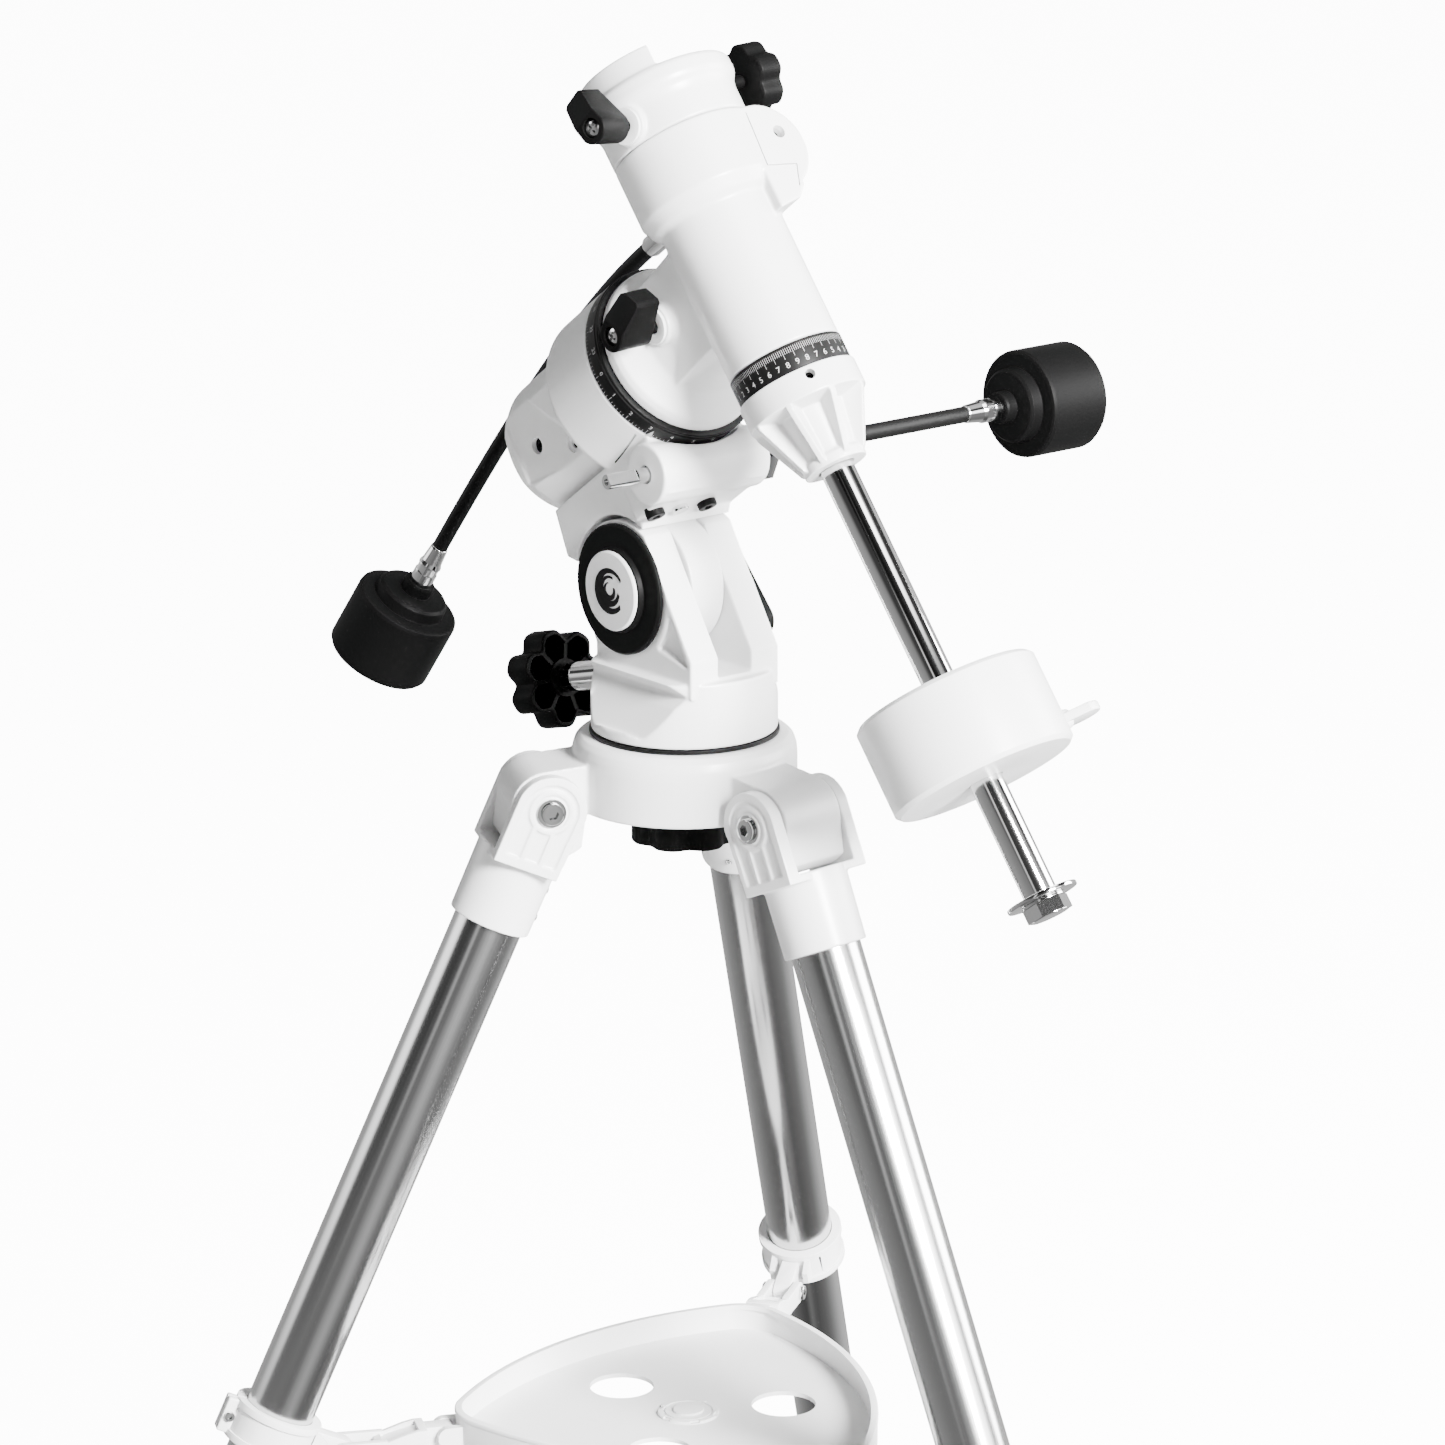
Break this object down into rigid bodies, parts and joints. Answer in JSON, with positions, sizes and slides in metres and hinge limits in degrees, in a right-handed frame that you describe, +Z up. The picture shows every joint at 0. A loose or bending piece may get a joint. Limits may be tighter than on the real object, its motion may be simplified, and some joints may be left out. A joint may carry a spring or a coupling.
{
  "type": "equatorial mount",
  "caption": "Equatorial telescope mount on a folding tripod with accessory tray, worm drives, setting circles, clutch levers and counterweight shaft.",
  "frame": {"origin": "on the floor under the middle of the object's bounding box", "axes": "+Z up, +Y towards the north leg (the leg under the counterweight), +X to its right, the badge side of the latitude hinge"},
  "size_m": [0.7248, 0.682, 1.1136],
  "materials": {
    "white_paint": "satin white powder coat over die-cast aluminium",
    "weight_paint": "satin white powder coat over cast iron",
    "white_plastic": "satin white moulded plastic",
    "black_plastic": "satin black moulded plastic",
    "black_dial": "matt black dial with white graduations",
    "cable_sheath": "matt black sheath over a spring-steel core",
    "chrome_steel": "polished chrome",
    "leg_steel": "polished tube with a fine lengthwise grain",
    "worm_brass": "cut brass gear",
    "foot_rubber": "matt black rubber"
  },
  "bodies": {
    "tripod": {"tripod_head": "white_paint", "azimuth_washer": "black_dial", "leg_pivot_bolt_north": "chrome_steel", "leg_pivot_bolt_west": "chrome_steel", "leg_pivot_bolt_east": "chrome_steel"},
    "azimuth_knob": {"azimuth_knob": "black_plastic", "azimuth_bolt": "leg_steel"},
    "mount_base": {"azimuth_base": "white_paint", "latitude_pin": "leg_steel", "hinge_cover_disc": "black_plastic"},
    "latitude_screw": {"latitude_screw": "chrome_steel", "latitude_knob": "black_plastic"},
    "latitude_lock": {"latitude_lock_lever": "black_plastic"},
    "polar_housing": {"ra_housing": "white_paint"},
    "polar_worm": {"ra_worm": "chrome_steel", "ra_cable": "cable_sheath", "ra_cable_knob": "black_plastic"},
    "polar_wheel": {"ra_worm_wheel": "worm_brass"},
    "polar_circle": {"ra_setting_circle": "black_dial"},
    "dec_head": {"dec_housing": "white_paint", "ra_axle": "leg_steel", "dec_cable": "cable_sheath"},
    "ra_clutch": {"ra_clutch_lever": "black_plastic"},
    "dec_worm": {"dec_worm": "chrome_steel"},
    "dec_knob": {"dec_cable_knob": "black_plastic"},
    "dec_wheel": {"dec_worm_wheel": "worm_brass"},
    "dec_circle": {"dec_setting_circle": "black_dial"},
    "dec_shaft": {"saddle": "white_paint", "shaft_collar": "white_paint", "counterweight_shaft": "chrome_steel", "toe_stop": "chrome_steel"},
    "dec_clutch": {"dec_clutch_lever": "black_plastic"},
    "saddle_clamp": {"saddle_knob": "black_plastic"},
    "weight": {"counterweight": "weight_paint"},
    "weight_lock": {"counterweight_lock_screw": "weight_paint"},
    "tray": {"accessory_tray": "white_plastic"},
    "leg_north": {"leg_bracket_north": "white_paint", "leg_upper_tube_north": "leg_steel", "leg_lock_collar_north": "black_plastic", "spreader_clamp_north": "white_plastic"},
    "leg_lower_north": {"leg_lower_tube_north": "leg_steel", "leg_foot_north": "foot_rubber"},
    "leg_lock_north": {"leg_lock_knob_north": "black_plastic"},
    "arm_north": {"spreader_arm_north": "white_plastic"},
    "leg_west": {"leg_bracket_west": "white_paint", "leg_upper_tube_west": "leg_steel", "leg_lock_collar_west": "black_plastic", "spreader_clamp_west": "white_plastic"},
    "leg_lower_west": {"leg_lower_tube_west": "leg_steel", "leg_foot_west": "foot_rubber"},
    "leg_lock_west": {"leg_lock_knob_west": "black_plastic"},
    "arm_west": {"spreader_arm_west": "white_plastic"},
    "leg_east": {"leg_bracket_east": "white_paint", "leg_upper_tube_east": "leg_steel", "leg_lock_collar_east": "black_plastic", "spreader_clamp_east": "white_plastic"},
    "leg_lower_east": {"leg_lower_tube_east": "leg_steel", "leg_foot_east": "foot_rubber"},
    "leg_lock_east": {"leg_lock_knob_east": "black_plastic"},
    "arm_east": {"spreader_arm_east": "white_plastic"}
  },
  "joints": [
    {"name": "azimuth_turn", "type": "hinge", "parent": "tripod", "child": "mount_base", "pos_m": [0, -0.07465, 0.74], "axis": [0, 0, 1], "continuous": true},
    {"name": "azimuth_knob_spin", "type": "hinge", "parent": "tripod", "child": "azimuth_knob", "pos_m": [0, -0.07465, 0.69], "axis": [0, 0, 1], "continuous": true},
    {"name": "latitude_tilt", "type": "hinge", "parent": "mount_base", "child": "polar_housing", "pos_m": [-0.0011, -0.08961, 0.82], "axis": [0.9973, -0.0732, 0], "range_deg": [-15.6, 24.4], "stiffness_Nm_per_rad": 3000},
    {"name": "latitude_screw_spin", "type": "hinge", "parent": "mount_base", "child": "latitude_screw", "pos_m": [-0.00586, -0.15443, 0.7537], "axis": [-0.0707, -0.9633, -0.2588], "continuous": true},
    {"name": "latitude_lock_turn", "type": "hinge", "parent": "mount_base", "child": "latitude_lock", "pos_m": [-0.0011, -0.08961, 0.82], "axis": [0.9973, -0.0732, 0], "range_deg": [-30, 60], "stiffness_Nm_per_rad": 3},
    {"name": "ra_turn", "type": "hinge", "parent": "polar_housing", "child": "dec_head", "pos_m": [-0.00429, -0.13309, 0.9068], "axis": [0.0596, 0.8109, 0.5821], "range_deg": [-95, 95], "stiffness_Nm_per_rad": 400},
    {"name": "ra_circle_turn", "type": "hinge", "parent": "polar_housing", "child": "polar_circle", "pos_m": [-0.0006, -0.08281, 0.94289], "axis": [0.0596, 0.8109, 0.5821], "continuous": true},
    {"name": "ra_worm_spin", "type": "hinge", "parent": "polar_housing", "child": "polar_worm", "pos_m": [0.00097, -0.06148, 0.8881], "axis": [0.9973, -0.0732, 0], "continuous": true},
    {"name": "ra_wheel_turn", "type": "hinge", "parent": "polar_housing", "child": "polar_wheel", "pos_m": [-0.00146, -0.09457, 0.93445], "axis": [0.0596, 0.8109, 0.5821], "continuous": true},
    {"name": "ra_clutch_turn", "type": "hinge", "parent": "dec_head", "child": "ra_clutch", "pos_m": [0.0364, -0.05902, 0.9678], "axis": [0.9981, -0.0377, -0.0496], "range_deg": [-20, 60], "stiffness_Nm_per_rad": 0.8},
    {"name": "dec_worm_spin", "type": "hinge", "parent": "dec_head", "child": "dec_worm", "pos_m": [-0.02705, -0.05629, 1.04574], "axis": [0.0596, 0.8109, 0.5821], "continuous": true},
    {"name": "dec_knob_spin", "type": "hinge", "parent": "dec_head", "child": "dec_knob", "pos_m": [-0.00227, -0.27903, 0.801], "axis": [0.1845, -0.4825, -0.8563], "continuous": true},
    {"name": "dec_wheel_turn", "type": "hinge", "parent": "dec_head", "child": "dec_wheel", "pos_m": [0.00553, -0.0619, 1.05021], "axis": [-0.0183, 0.5839, -0.8116], "continuous": true},
    {"name": "dec_circle_turn", "type": "hinge", "parent": "dec_head", "child": "dec_circle", "pos_m": [0.00325, 0.01051, 0.94958], "axis": [-0.0183, 0.5839, -0.8116], "continuous": true},
    {"name": "dec_turn", "type": "hinge", "parent": "dec_head", "child": "dec_shaft", "pos_m": [0.00415, -0.0181, 0.98934], "axis": [-0.0183, 0.5839, -0.8116], "continuous": true},
    {"name": "dec_clutch_turn", "type": "hinge", "parent": "dec_shaft", "child": "dec_clutch", "pos_m": [0.00594, -0.07504, 1.06847], "axis": [0.9777, 0.1804, 0.1077], "range_deg": [-20, 60], "stiffness_Nm_per_rad": 0.8},
    {"name": "saddle_clamp_spin", "type": "hinge", "parent": "dec_shaft", "child": "saddle_clamp", "pos_m": [-0.04968, -0.08169, 1.08343], "axis": [-0.9981, 0.0377, 0.0496], "continuous": true},
    {"name": "weight_slide", "type": "slide", "parent": "dec_shaft", "child": "weight", "axis": [-0.0183, 0.5839, -0.8116], "range_m": [-0.12, 0.06], "stiffness_N_per_m": 40000},
    {"name": "weight_lock_spin", "type": "hinge", "parent": "weight", "child": "weight_lock", "pos_m": [-0.0008, 0.13957, 0.77022], "axis": [-0.9605, 0.2152, 0.1766], "continuous": true},
    {"name": "leg_fold_north", "type": "hinge", "parent": "tripod", "child": "leg_north", "pos_m": [0, 0.00435, 0.707], "axis": [-1, 0, 0], "range_deg": [0, 3.5]},
    {"name": "leg_slide_north", "type": "slide", "parent": "leg_north", "child": "leg_lower_north", "axis": [0, 0.4067, -0.9135], "range_m": [-0.1, 0.2], "stiffness_N_per_m": 90000},
    {"name": "leg_lock_spin_north", "type": "hinge", "parent": "leg_north", "child": "leg_lock_north", "pos_m": [0, 0.2768, 0.19341], "axis": [0, 0.9135, 0.4067], "continuous": true},
    {"name": "leg_fold_west", "type": "hinge", "parent": "tripod", "child": "leg_west", "pos_m": [-0.06842, -0.11415, 0.707], "axis": [0.5, -0.866, 0], "range_deg": [0, 3.5]},
    {"name": "leg_slide_west", "type": "slide", "parent": "leg_west", "child": "leg_lower_west", "axis": [-0.3522, -0.2034, -0.9135], "range_m": [-0.1, 0.2], "stiffness_N_per_m": 90000},
    {"name": "leg_lock_spin_west", "type": "hinge", "parent": "leg_west", "child": "leg_lock_west", "pos_m": [-0.30436, -0.25037, 0.19341], "axis": [-0.7912, -0.4568, 0.4067], "continuous": true},
    {"name": "leg_fold_east", "type": "hinge", "parent": "tripod", "child": "leg_east", "pos_m": [0.06842, -0.11415, 0.707], "axis": [0.5, 0.866, 0], "range_deg": [0, 3.5]},
    {"name": "leg_slide_east", "type": "slide", "parent": "leg_east", "child": "leg_lower_east", "axis": [0.3522, -0.2034, -0.9135], "range_m": [-0.1, 0.2], "stiffness_N_per_m": 90000},
    {"name": "leg_lock_spin_east", "type": "hinge", "parent": "leg_east", "child": "leg_lock_east", "pos_m": [0.30436, -0.25037, 0.19341], "axis": [0.7912, -0.4568, 0.4067], "continuous": true},
    {"name": "tray_lift", "type": "slide", "parent": "tripod", "child": "tray", "axis": [0, 0, 1], "range_m": [0, 0.0356]},
    {"name": "arm_fold_north", "type": "hinge", "parent": "tray", "child": "arm_north", "pos_m": [0, 0.06235, 0.348], "axis": [-1, 0, 0], "range_deg": [0, 48.3]},
    {"name": "arm_fold_west", "type": "hinge", "parent": "tray", "child": "arm_west", "pos_m": [-0.11865, -0.14315, 0.348], "axis": [0.5, -0.866, 0], "range_deg": [0, 48.3]},
    {"name": "arm_fold_east", "type": "hinge", "parent": "tray", "child": "arm_east", "pos_m": [0.11865, -0.14315, 0.348], "axis": [0.5, 0.866, 0], "range_deg": [0, 48.3]}
  ],
  "couplings": [
    {"joint": "leg_fold_west", "follows": "leg_fold_north", "ratio": 1},
    {"joint": "leg_fold_east", "follows": "leg_fold_north", "ratio": 1},
    {"joint": "tray_lift", "follows": "leg_fold_north", "m_per_rad": 0.58149},
    {"joint": "arm_fold_north", "follows": "leg_fold_north", "ratio": 13.79},
    {"joint": "arm_fold_west", "follows": "leg_fold_north", "ratio": 13.79},
    {"joint": "arm_fold_east", "follows": "leg_fold_north", "ratio": 13.79},
    {"joint": "ra_wheel_turn", "follows": "ra_worm_spin", "ratio": 0.007692},
    {"joint": "dec_knob_spin", "follows": "dec_worm_spin", "ratio": -1},
    {"joint": "dec_wheel_turn", "follows": "dec_worm_spin", "ratio": 0.015385}
  ]
}
